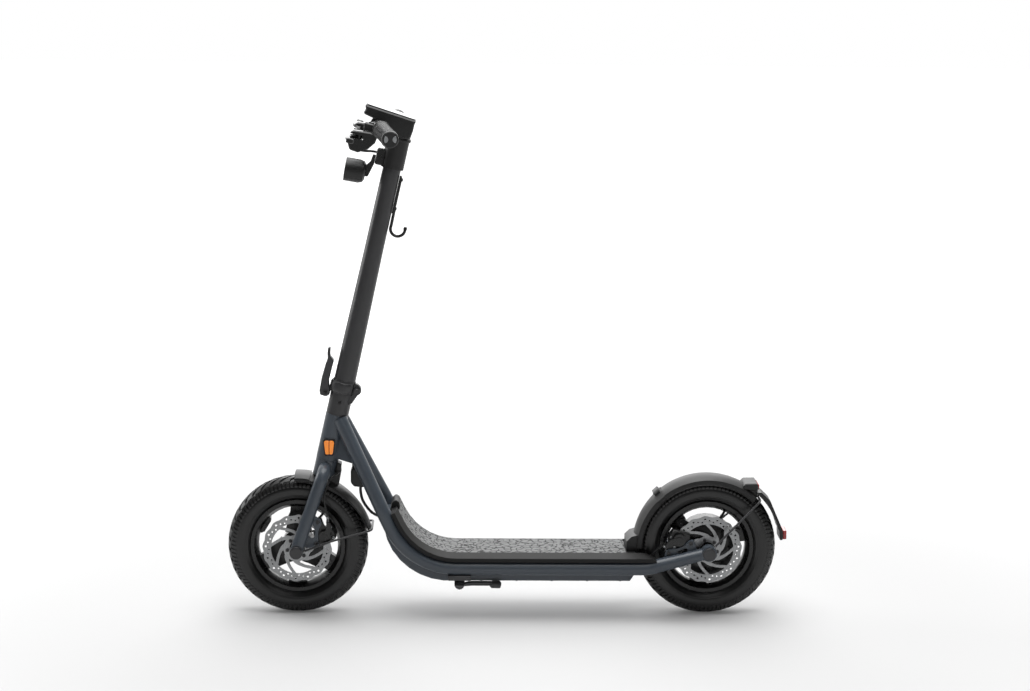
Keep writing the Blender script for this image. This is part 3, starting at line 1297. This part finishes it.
def seen_directly(tree):
    """Where a ray comes straight from the camera or through glass, and the node that tells."""
    rays = add(tree, "ShaderNodeLightPath")
    return rays, add(tree, "ShaderNodeMath", {"operation": "MAXIMUM"},
                     {0: rays.outputs["Is Camera Ray"], 1: rays.outputs["Is Transmission Ray"]})


bm = bmesh.new()
bmesh.ops.create_grid(bm, x_segments=1, y_segments=1, size=FLOOR_SIZE / 2)
mesh = bpy.data.meshes.new("studio_floor")
bm.to_mesh(mesh)
bm.free()
floor = new_object("studio_floor", mesh)

paper = bpy.data.materials.new("white_painted_floor")
paper.use_nodes = True
tree = paper.node_tree
paint = tree.nodes["Principled BSDF"]
paint.inputs["Base Color"].default_value = colour("c6c6c6")
paint.inputs["Roughness"].default_value = 0.9
paint.inputs["Specular IOR Level"].default_value = 0.1
rays, direct = seen_directly(tree)
in_gloss = add(tree, "ShaderNodeMath", {"operation": "MULTIPLY", 1: SHARE_IN_GLOSS},
               {0: rays.outputs["Is Glossy Ray"]})
seen = add(tree, "ShaderNodeMath", {"operation": "MAXIMUM"}, {0: direct, 1: in_gloss})
reach = add(tree, "ShaderNodeVectorMath", {"operation": "LENGTH"},
            {0: add(tree, "ShaderNodeTexCoord").outputs["Object"]})
fade = add(tree, "ShaderNodeMapRange",
           {"interpolation_type": "SMOOTHSTEP", "From Min": FADE_FROM, "From Max": FADE_TO,
            "To Min": FLOOR_OWN_LIGHT, "To Max": 1.0}, {"Value": reach.outputs["Value"]})
strength = add(tree, "ShaderNodeMath", {"operation": "MULTIPLY"}, {0: seen, 1: fade})
glow = add(tree, "ShaderNodeEmission", links={"Strength": strength})
both = add(tree, "ShaderNodeAddShader", links={0: paint, 1: glow})
link(both, tree.nodes["Material Output"], "Surface")
floor.data.materials.append(paper)
print("the floor fades to white", FADE_FROM, "to", FADE_TO, "m away")

# %% World
WALL_LIGHT, ROOM_LIGHT = 1.1, 0.07
BRIGHT_TOWARDS = (0, 0.8, 0.6)
world = bpy.data.worlds.new("studio")
bpy.context.scene.world = world
world.use_nodes = True
tree = world.node_tree
background = tree.nodes["Background"]
direct = seen_directly(tree)[1]
heading = add(tree, "ShaderNodeVectorMath", {"operation": "DOT_PRODUCT", 1: BRIGHT_TOWARDS},
              {0: add(tree, "ShaderNodeTexCoord").outputs["Generated"]})
wall = add(tree, "ShaderNodeMapRange",
           {"interpolation_type": "SMOOTHSTEP", "From Min": 0.05, "From Max": 1.0,
            "To Min": ROOM_LIGHT, "To Max": WALL_LIGHT}, {"Value": heading.outputs["Value"]})
level = add(tree, "ShaderNodeMix", {"data_type": "FLOAT", "B": 1.0},
            {"Factor": direct, "A": wall})
link(level, background, "Strength")
background.inputs["Color"].default_value = (1, 1, 1, 1)
print("wall", WALL_LIGHT, "room", ROOM_LIGHT)

# %% Lamps
def soft_lamp(name, place, target, size, power):
    """A square area lamp that faces its target."""
    data = bpy.data.lights.new(name, "AREA")
    data.shape, data.size, data.energy = "SQUARE", size, power
    lamp = new_object(name, data)
    lamp.location = place
    lamp.visible_camera = False
    lamp.rotation_euler = (Vector(target) - Vector(place)).to_track_quat("-Z", "Y").to_euler()


soft_lamp("overhead", (0.1, -0.1, 2.9), (0, 0, 0), 2.6, 88)
soft_lamp("camera_side", (0.6, -3.6, 2.6), (0, 0, 0.4), 1.6, 8)
soft_lamp("front_edge", (-2.8, 0.9, 1.3), (-0.4, 0, 0.6), 1.2, 18)
soft_lamp("behind", (0.1, 2.6, 1.9), (0, 0, 0.5), 2.8, 44)
bpy.context.scene.view_settings.view_transform = "Standard"
print(len(bpy.data.lights), "lamps")
